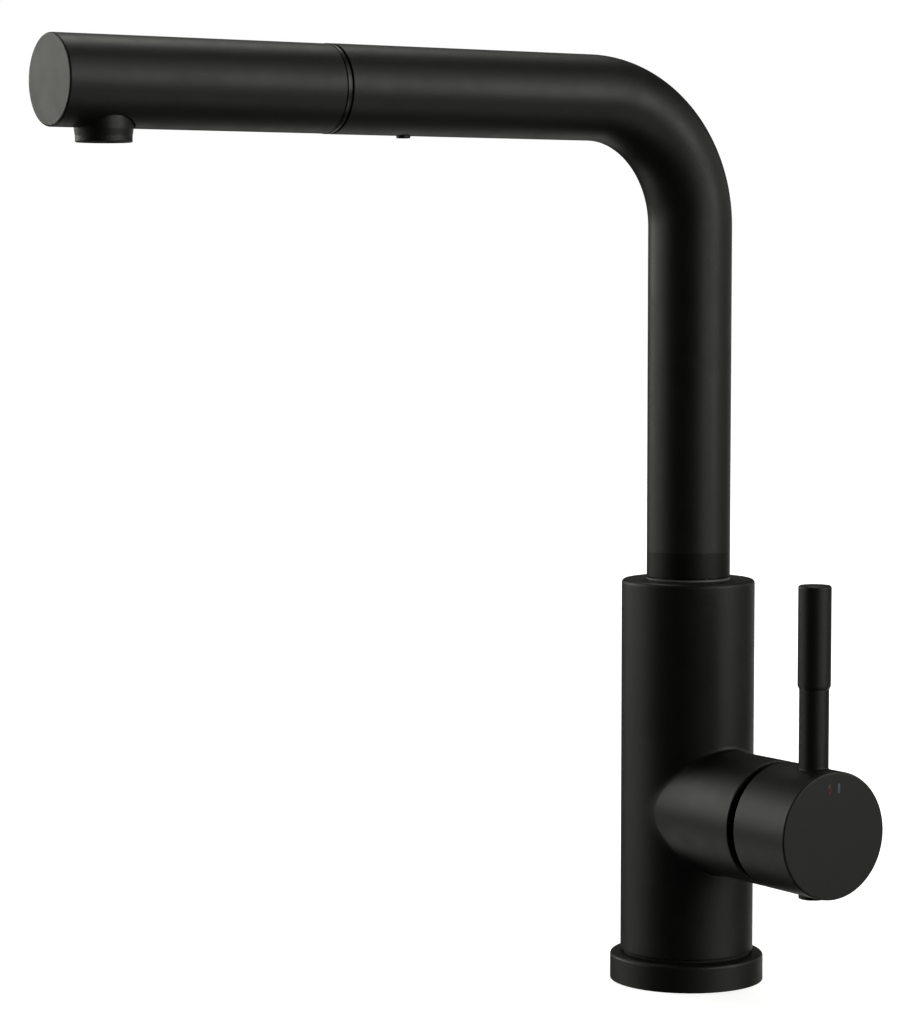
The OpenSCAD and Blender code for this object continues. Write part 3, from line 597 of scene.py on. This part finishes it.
def base_flange():
    """The round foot on the worktop, with a groove below for its gasket."""
    radius, top = hi("base_flange").x, hi("base_flange").z
    gasket = hi("deck_gasket")
    groove_in, groove_out = 22.55 * MM, gasket.x + RUN
    skin = Skin()
    skin.turned(outline((FOOT_BORE, top, 0.2 * MM), (radius, top, 1.2 * MM), (radius, 0, 0.3 * MM),
                        (groove_out, 0, 0), (groove_out, gasket.z, 0), (groove_in, gasket.z, 0),
                        (groove_in, 0, 0), (FOOT_BORE, 0, 0)), POST, closed=True)
    settle(skin, "base_flange", "column")


def base_seal():
    """The recessed seal in the dark line above the flange. Its rubber is darker than the other
    rubber: painted shade for the recess.
    """
    radius = hi("base_seal").x
    low, top = levels("base_seal")
    skin = Skin()
    skin.turned(outline((FOOT_BORE, low, 0), (radius, low, 0.25 * MM), (radius, top, 0.25 * MM),
                        (FOOT_BORE, top, 0)), POST, closed=True)
    settle(skin, "base_seal", "column", "rubber", finish="seal_rubber_painted_shade")


def column_shell():
    """The column with its branch: an outer skin, and an inner one round the chamber."""
    radius, end = hi("column_shell").y, hi("column_shell").x
    low, top = levels("column_shell")
    branch = hi("handle_hub").y
    chamber, roof = radius - 2.5 * MM, top - 26 * MM
    bore, branch_bore = BEARING, 20 * MM
    screw = 2.5 * MM
    fillet = 1.4 * MM
    skin = Skin()
    mouth = dict(angle=FORWARD, z=VALVE_Z, tall=29 * MM, wide=math.radians(90), rows=72)
    pocket = dict(angle=REAR, z=SWIVEL_SCREW_Z, size=screw, tall=5 * MM,
                  wide=math.radians(15), rows=16)
    outer = Opening(POST, radius, size=branch, lip=fillet, **mouth)
    inner = Opening(POST, chamber, size=branch_bore, lip=0, **mouth)
    hole = Opening(POST, radius, lip=0.25 * MM, **pocket)
    hole_end = Opening(POST, bore, lip=0, **pocket)

    skin.turned(outline((chamber, low, 0), (radius, low, 0.3 * MM), (radius, outer.low, 0),
                        closed=False), POST)
    pierced(skin, outer)
    skin.turned([(radius, outer.high, 0), (radius, hole.low, 0)], POST)
    pierced(skin, hole)
    skin.turned(outline((radius, hole.high, 0), (radius, top, 1.4 * MM), (bore, top, 0.2 * MM),
                        (bore, hole_end.high, 0), closed=False), POST)
    pierced(skin, hole_end)
    skin.turned([(bore, hole_end.low, 0), (bore, roof, 0), (chamber, roof, 0),
                 (chamber, inner.high, 0)], POST)
    pierced(skin, inner)
    skin.turned([(chamber, inner.low, 0), (chamber, low, 0)], POST)
    skin.span(hole.edge(skin, -1, 1.0), skin.ring(hole_end.saddle(screw)))

    shoulder = radius + 2 * fillet
    skin.span(outer.edge(skin, 1, 0.0), outer.level_ring(skin, branch, shoulder))
    skin.turned(outline((branch, shoulder, 0), (branch, end, 0.5 * MM),
                        (branch_bore, end, 0.2 * MM), (branch_bore, radius, 0), closed=False),
                outer.across, outer.angles)
    skin.span(outer.level_ring(skin, branch_bore, radius), skin.ring(inner.saddle(branch_bore)))
    settle(skin, "column_shell", "column")


def nut_cover():
    """The ring seen deep in the gap between the branch and the hub."""
    radius = hi("nut_cover").y
    back, front = lo("nut_cover").x, hi("nut_cover").x
    bore = 12.5 * MM
    skin = Skin()
    skin.turned(outline((bore, back, 0), (radius, back, 0), (radius, front, 0.6 * MM),
                        (bore, front, 0.3 * MM)), VALVE, closed=True)
    settle(skin, "nut_cover", "column")


def swivel_washer():
    """The slip ring, the light line between the column and the spout's collar."""
    radius = hi("swivel_washer").x
    low, top = levels("swivel_washer")
    skin = Skin()
    skin.turned(outline((BEARING, low, 0), (radius, low, 0.05 * MM), (radius, top, 0.15 * MM),
                        (BEARING, top, 0.05 * MM)), POST, closed=True)
    settle(skin, "swivel_washer", "column", "grey_pom", finish="slip_ring")


def handle_hub():
    """The hub: a turned shell with a boss for the stem, and posts that carry the lever above
    and the screw's cover below."""
    radius = hi("handle_hub").y
    back, front = lo("handle_hub").x, hi("handle_hub").x
    rim, cavity = radius - 1.5 * MM, back + 6.6 * MM
    shell, floor = radius - 3 * MM, front - 3.9 * MM
    boss, post = 9.5 * MM, 7.6 * MM
    stem_end = hi("cartridge_stem").x + 1 * MM
    stem_corner = STEM_HALF * math.sqrt(2)
    thread, thread_end = 3 * MM, 9.5 * MM
    screw, screw_end = 2.5 * MM, 4.2 * MM
    sizes = (hi("screw_cover").y + RUN, hi("lever_rod").y + RUN)
    lips = (0.2 * MM, 0.45 * MM)
    skin = Skin()
    outer = [Opening(VALVE, radius, angle, LEVER_X, size, lip, 9 * MM, math.radians(30), 32)
             for angle, size, lip in zip((VALVE_DOWN, VALVE_UP), sizes, lips)]
    inner = [[Opening(VALVE, wall, angle, LEVER_X, post, 0, 7.7 * MM, math.radians(67.5), 40)
              for angle in (VALVE_DOWN, VALVE_UP)] for wall in (boss, shell)]

    pierced(skin, *outer)
    skin.turned(outline((radius, outer[0].high, 0), (radius, front, 0.7 * MM), (0, front, 0),
                        closed=False), VALVE)
    skin.turned(outline((radius, outer[0].low, 0), (radius, back, 0.3 * MM), (rim, back, 0.15 * MM),
                        (rim, cavity, 0.5 * MM), (shell, cavity, 0), (shell, inner[1][0].low, 0),
                        closed=False), VALVE)
    for walls in inner:
        pierced(skin, *walls)
    skin.turned([(shell, inner[1][0].high, 0), (shell, floor, 0), (boss, floor, 0),
                 (boss, inner[0][0].high, 0)], VALVE)
    skin.turned([(boss, inner[0][0].low, 0), (boss, cavity, 0), (stem_corner, cavity, 0)], VALVE)
    for near, far in zip(*inner):
        skin.span(skin.ring(near.saddle(post)), skin.ring(far.saddle(post)))
    upright = VALVE @ Matrix.Rotation(math.radians(45), 4, "Z")
    skin.socket(upright, STEM_HALF, cavity, stem_end, 4, ROUND, mouth=stem_corner)

    cover, lever = outer
    for opening, rise, neck, end in ((cover, -1, screw, screw_end), (lever, 1, thread, thread_end)):
        skin.span(opening.edge(skin, rise, 0.6), opening.level_ring(skin, opening.size, HUB_SEAT))
        skin.turned([(opening.size, HUB_SEAT, 0), (neck, HUB_SEAT, 0), (neck, end, 0), (0, end, 0)],
                    opening.across, opening.angles)
    settle(skin, "handle_hub", "handle")


def screw_cover():
    """The cap over the hub's screw, with its stub up into the screw's hole."""
    radius, neck = hi("screw_cover").y, 2.45 * MM
    bottom, top = levels("screw_cover")
    seat = VALVE_Z - HUB_SEAT
    skin = Skin()
    skin.turned(outline((0, bottom, 0), (radius, bottom, 0.45 * MM), (radius, seat, 0),
                        (neck, seat, 0), (neck, top, 0), (0, top, 0), closed=False), LEVER, SMALL)
    settle(skin, "screw_cover", "handle")


def lever_rod():
    """The lower rod, with its thread in the hub and its core up inside the grip."""
    radius, core, thread = hi("lever_rod").y, 3.2 * MM, 2.95 * MM
    low, top = levels("lever_rod")
    seat, grip = VALVE_Z + HUB_SEAT, lo("lever_grip").z
    skin = Skin()
    skin.turned(outline((0, low, 0), (thread, low, 0.4 * MM), (thread, seat, 0), (radius, seat, 0),
                        (radius, grip, 0.25 * MM), (core, grip, 0), (core, top, 0.3 * MM),
                        (0, top, 0), closed=False), LEVER, SMALL)
    settle(skin, "lever_rod", "handle")


def lever_grip():
    """The thicker upper part of the lever, with a bevel at its lower end."""
    radius, bore, roof = hi("lever_grip").y, 3.25 * MM, hi("lever_rod").z
    low, top = levels("lever_grip")
    bevel_up, bevel_in = 1.2 * MM, 0.55 * MM
    skin = Skin()
    skin.turned(outline((0, roof, 0), (bore, roof, 0), (bore, low, 0.1 * MM),
                        (radius - bevel_in, low, 0.1 * MM), (radius, low + bevel_up, 0.8 * MM),
                        (radius, top, 0.9 * MM), (0, top, 0), closed=False), LEVER, SMALL)
    settle(skin, "lever_grip", "handle")


def inlay(name, slot):
    """A mark on the hub's end face: a small bar of enamel with round ends, a hair proud."""
    low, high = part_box(name)
    middle = (low + high) / 2
    half = (high.y - low.y) / 2
    straight = (high.z - low.z) / 2 - half
    corner, steps = 0.12 * MM, 12
    face = high.x + 0.03 * MM
    skin = Skin()
    rings = []
    for inset, x in ((0, low.x), (0, face - corner), (0.3 * corner, face - 0.3 * corner),
                     (corner, face)):
        ring = []
        for end in (1, -1):
            for i in range(steps + 1):
                t = math.pi * i / steps + (0 if end > 0 else math.pi)
                ring.append((x, middle.y + (half - inset) * math.cos(t),
                             middle.z + end * straight + (half - inset) * math.sin(t)))
        rings.append(skin.ring(ring))
    for first, second in zip(rings, rings[1:]):
        skin.span(first, second)
    for ring, x in ((rings[0], low.x), (rings[-1], face)):
        skin.span(ring, skin.ring([(x, middle.y, middle.z)]))
    settle(skin, name, "handle", slot)


def spout_collar():
    """The collar at the spout's foot, narrower where it stands on the slip ring."""
    radius = hi("spout_collar").x
    low, top = levels("spout_collar")
    bore, foot, step = 13.75 * MM, 14.1 * MM, low + 0.4 * MM
    skin = Skin()
    skin.turned(outline((bore, low, 0), (foot, low, 0.1 * MM), (foot, step, 0),
                        (radius, step, 0.15 * MM), (radius, top, 0.05 * MM), (bore, top, 0)),
                POST, closed=True)
    settle(skin, "spout_collar", "spout", finish="collar_paint")


def bend(steps):
    """Stations round the spout's quarter bend, from the column up to the arm."""
    stations = []
    for i in range(steps + 1):
        t = math.pi / 2 * i / steps
        spot = (0, BEND_RADIUS * (math.cos(t) - 1), BEND_Z + BEND_RADIUS * math.sin(t))
        stations.append(Matrix.Translation(spot) @ Matrix.Rotation(t, 4, "X"))
    return stations


def spout_tube():
    """The bent tube, open at both ends, with the dock screw's hole under the arm."""
    radius, foot, end = hi("spout_tube").x, lo("spout_tube").z, -lo("spout_tube").y
    bore = radius - TUBE_WALL
    near = 1 * MM  # how far the patch round each open end reaches
    hole = dict(angle=ARM_DOWN, z=DOCK_SCREW_D, size=hi("dock_screw").x + RUN, tall=5 * MM,
                wide=math.radians(26.25), rows=20)
    skin = Skin()
    openings = [Opening(ARM, radius, lip=0.15 * MM, **hole), Opening(ARM, bore, lip=0, **hole)]
    skin.turned(outline((bore, foot + near, 0), (bore, foot, 0.1 * MM), (radius, foot, 0.05 * MM),
                        (radius, foot + near, 0), closed=False), POST)
    for opening in openings:
        wall = opening.wall
        skin.swept([Matrix.Translation((0, 0, foot + near))] + bend(96), wall)
        skin.turned([(wall, BEND_RADIUS, 0), (wall, opening.low, 0)], ARM)
        pierced(skin, opening)
        skin.turned([(wall, opening.high, 0), (wall, end - near, 0)], ARM)
    skin.turned(outline((bore, end - near, 0), (bore, end, 0.1 * MM), (radius, end, 0.2 * MM),
                        (radius, end - near, 0), closed=False), ARM)
    skin.span(openings[0].edge(skin, -1, 0.8), skin.ring(openings[1].saddle(openings[1].size)))
    settle(skin, "spout_tube", "spout")


def dock_ring():
    """The thin ring at the arm's end: a recessed neck and a crowned rim that catches the light."""
    radius, start, end = hi("dock_ring").x, -hi("dock_ring").y, -lo("dock_ring").y
    neck, bore = radius - 0.7 * MM, hi("dock_sleeve").x + RUN
    rim = start + 0.8 * MM
    skin = Skin()
    skin.turned(outline((bore, start, 0), (neck, start, 0), (neck, rim, 0), (radius, rim, 0.4 * MM),
                        (radius, end, 0.25 * MM), (bore, end, 0.1 * MM)), ARM, closed=True)
    settle(skin, "dock_ring", "spout", finish="ring_paint")


def dock_screw():
    """The dome-edged screw under the arm, with a hexagon socket."""
    radius, thread = hi("dock_screw").x, 1.95 * MM
    low, top = levels("dock_screw")
    step = ARM_Z - hi("dock_sleeve").x
    flat, depth = 1.3 * MM * math.cos(math.radians(30)), 1.5 * MM
    mouth = flat * 1.35
    skin = Skin()
    skin.turned(outline((mouth, low, 0), (radius, low, 0.35 * MM), (radius, step, 0),
                        (thread, step, 0), (thread, top, 0), (0, top, 0), closed=False),
                DOCK_SCREW, SMALL)
    skin.socket(DOCK_SCREW, flat, low, low + depth, 6, SMALL, mouth, dip=0.15 * MM)
    settle(skin, "dock_screw", "spout")


def head_shell():
    """The spray head's shell, closed at the far end, with the nozzle's opening below."""
    radius, start, end = hi("head_shell").x, -hi("head_shell").y, -lo("head_shell").y
    bore, wall_end = radius - 2 * MM, end - 2.5 * MM
    hole = dict(angle=ARM_DOWN, z=NOZZLE_D, size=10.3 * MM, tall=15 * MM,
                wide=math.radians(75), rows=56)
    outer = Opening(ARM, radius, lip=0.35 * MM, **hole)
    inner = Opening(ARM, bore, lip=0, **hole)
    skin = Skin()
    skin.turned(outline((bore, inner.low, 0), (bore, start, 0.1 * MM), (radius, start, 0.12 * MM),
                        (radius, outer.low, 0), closed=False), ARM)
    pierced(skin, outer)
    pierced(skin, inner)
    skin.turned(outline((radius, outer.high, 0), (radius, end, 0.7 * MM), (0, end, 0),
                        closed=False), ARM)
    skin.turned([(bore, inner.high, 0), (bore, wall_end, 0), (0, wall_end, 0)], ARM)
    skin.span(outer.edge(skin, -1, 0.8), skin.ring(inner.saddle(inner.size)))
    settle(skin, "head_shell", "spray_head")


def nozzle_ring():
    """The outlet's ring, which widens softly as it goes up into the head."""
    low, top = (z - ARM_Z for z in levels("nozzle_ring"))
    taper, taper_end, shoulder, soft = low + 2 * MM, low + 4.4 * MM, -11.5 * MM, 4 * MM
    radius, wide, thread, bore = 9.55 * MM, hi("nozzle_ring").x, 9 * MM, 8.2 * MM
    skin = Skin()
    skin.turned(outline((bore, low, 0.15 * MM), (radius, low, 0.3 * MM), (radius, taper, soft),
                        (wide, taper_end, soft), (wide, shoulder, 0), (thread, shoulder, 0),
                        (thread, top, 0), (bore, top, 0)), NOZZLE, closed=True)
    settle(skin, "nozzle_ring", "spray_head")


def hose():
    """The braided hose, from the base to the spray head."""
    radius, bore = hi("hose_upper").x, 4.6 * MM
    foot, end = lo("hose_lower").z, -lo("hose_upper").y
    spacing = 2.5 * MM
    climb = round((BEND_Z - foot) / spacing)
    reach = round((end - BEND_RADIUS) / spacing)
    stations = [Matrix.Translation((0, 0, foot + (BEND_Z - foot) * i / climb))
                for i in range(climb)]
    stations += bend(30)
    stations += [ARM @ Matrix.Translation((0, 0, BEND_RADIUS + (end - BEND_RADIUS) * i / reach))
                 for i in range(1, reach + 1)]
    skin = Skin()
    skin.mark_turns()
    for wall in (radius, bore):
        skin.swept(stations, wall, HOSE)
    for station in (stations[0], stations[-1]):
        edges = []
        for r in (radius, bore):
            spots = [Vector((r * math.cos(t), r * math.sin(t), 0)) for t in HOSE]
            edges.append(skin.ring([station @ spot for spot in spots]))
        skin.span(*edges)
    piece = skin.build("hose_skin")
    piece.data.materials.append(FINISHES["hose_braid"])
    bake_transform(piece)
    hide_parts("hose_lower", "hose_upper")


def check_valve_spring():
    """The check valve's coil."""
    node = "check_valve_spring"
    wire, turns, steps, travel = 0.3 * MM, 4, 40, 2 * MM
    start, end = -hi(node).y, -lo(node).y
    coil = hi(node).x - wire
    first, last = start + wire, end - wire
    count = turns * steps
    skin = Skin()
    rings = []
    for i in range(count + 1):
        turn, z = 2 * math.pi * i / steps, first + (last - first) * i / count
        ring = []
        for t in WIRE:
            out = coil + wire * math.cos(t)
            spot = Vector((out * math.cos(turn), out * math.sin(turn), z + wire * math.sin(t)))
            ring.append(ARM @ spot)
        rings.append(skin.ring(ring))
    for near, far in zip(rings, rings[1:]):
        skin.span(near, far)
    for ring, z in ((rings[0], first), (rings[-1], last)):
        skin.span(ring, skin.ring([ARM @ Vector((coil, 0, z))]))
    piece = settle(skin, node, "spray_head", "steel")
    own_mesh(piece)


def inner_pieces():
    """The CAD nodes that no new piece stands for keep their meshes, and take a finish by slot."""
    slots = {part["node"]: part["material_slot"] for part in frame["record"]["subparts"]}
    for name, node in frame["nodes"].items():
        node.data.materials.clear()
        node.data.materials.append(FINISHES[slots[name]])


# ---- studio ----


def from_angles(azimuth, elevation):
    """The direction out to a place seen at that azimuth and elevation, in degrees."""
    a, e = math.radians(azimuth), math.radians(elevation)
    return Vector((math.sin(a) * math.cos(e), -math.cos(a) * math.cos(e), math.sin(e)))


CENTRE = Vector((0, -0.1055, 0.1815))
CAMERA = dict(azimuth=56.5, elevation=4.3, distance=1.187, lens=116.5)

# Softboxes round the tap: azimuth, elevation, width, height, radiance
SOFTBOXES = {
    "right_rear": (127, 12, 1.15, 1.9, 4.5),
    "right": (99, 12, 1.15, 1.9, 3.0),
    "right_top": (125, 38, 2.1, 1.9, 0.9),
    "rear": (165, 12, 4.6, 1.9, 0.4),
    "left": (289, 12, 1.15, 1.9, 4.4),
    "left_front": (318, 12, 1.05, 1.9, 2.4),
    "front": (335, 5, 2.1, 3.0, 0.5),
    "left_top": (300, 38, 2.1, 1.9, 0.55),
    "top": (240, 66, 2.1, 2.3, 3.3),
    "bounce_rear": (210, -35, 4.6, 1.9, 0.6),
    "bounce_left": (300, -33, 2.1, 2.2, 0.85),
    "bounce_right": (120, -35, 2.1, 1.9, 0.95),
    "low_rear": (210, -10, 2.1, 1.9, 0.6),
}
BOX_DISTANCE = 4
LIGHT_TINT = (0.985, 1.0, 0.92)
ROOM_TINT, ROOM = (1.0, 0.99, 0.97), 0.025
FLOOR_RADIUS = 30


def camera():
    """The eye, which looks at the middle of the tap."""
    data = bpy.data.cameras.new("camera")
    data.lens = CAMERA["lens"]
    data.sensor_width = 36
    eye = bpy.data.objects.new("camera", data)
    bpy.context.scene.collection.objects.link(eye)
    back = from_angles(CAMERA["azimuth"], CAMERA["elevation"])
    eye.location = CENTRE + back * CAMERA["distance"]
    eye.rotation_mode = "QUATERNION"
    eye.rotation_quaternion = (-back).to_track_quat("-Z", "Y")
    data.clip_start, data.clip_end = 0.01, 100
    bpy.context.scene.camera = eye


def softbox(name, azimuth, elevation, width, height, radiance):
    """A rectangular light turned to the tap. Its power is pi times its area times its radiance."""
    data = bpy.data.lights.new(name, "AREA")
    data.shape = "RECTANGLE"
    data.size, data.size_y, data.energy = width, height, radiance * math.pi * width * height
    data.color = LIGHT_TINT
    lamp = bpy.data.objects.new(name, data)
    bpy.context.scene.collection.objects.link(lamp)
    out = from_angles(azimuth, elevation)
    lamp.location = CENTRE + out * BOX_DISTANCE
    lamp.rotation_mode = "QUATERNION"
    lamp.rotation_quaternion = out.to_track_quat("Z", "Y")
    lamp.visible_camera = False


def floor():
    """The pale floor. Only the eye sees it, and the softboxes below stand for what it sends up."""
    skin = Skin()
    skin.turned([(FLOOR_RADIUS, 0, 0), (0, 0, 0)], POST, SMALL)
    piece = skin.build("studio_floor")
    piece.data.materials.append(studio_floor())
    piece.visible_glossy = False
    piece.visible_diffuse = False
    piece.visible_shadow = False


def backdrop():
    """A white background to the eye, and a dim room to everything else."""
    world = bpy.data.worlds.new("studio")
    bpy.context.scene.world = world
    world.use_nodes = True
    tree = world.node_tree
    tree.nodes.clear()
    output = tree.nodes.new("ShaderNodeOutputWorld")
    mix = tree.nodes.new("ShaderNodeMixShader")
    path = tree.nodes.new("ShaderNodeLightPath")
    tree.links.new(path.outputs["Is Camera Ray"], mix.inputs[0])
    for i, (colour, strength) in enumerate(((ROOM_TINT, ROOM), ((1, 1, 1), 1.0))):
        light = tree.nodes.new("ShaderNodeBackground")
        light.inputs["Color"].default_value = (*colour, 1)
        light.inputs["Strength"].default_value = strength
        tree.links.new(light.outputs[0], mix.inputs[1 + i])
    tree.links.new(mix.outputs[0], output.inputs["Surface"])


camera()
for name, numbers in SOFTBOXES.items():
    softbox(name, *numbers)
floor()
backdrop()
bpy.context.scene.view_settings.view_transform = "Standard"

base_flange()
base_seal()
column_shell()
nut_cover()
swivel_washer()
handle_hub()
screw_cover()
lever_rod()
lever_grip()
inlay("hot_mark", "hot_enamel")
inlay("cold_mark", "cold_enamel")
spout_collar()
spout_tube()
dock_ring()
dock_screw()
head_shell()
nozzle_ring()
hose()
check_valve_spring()
inner_pieces()
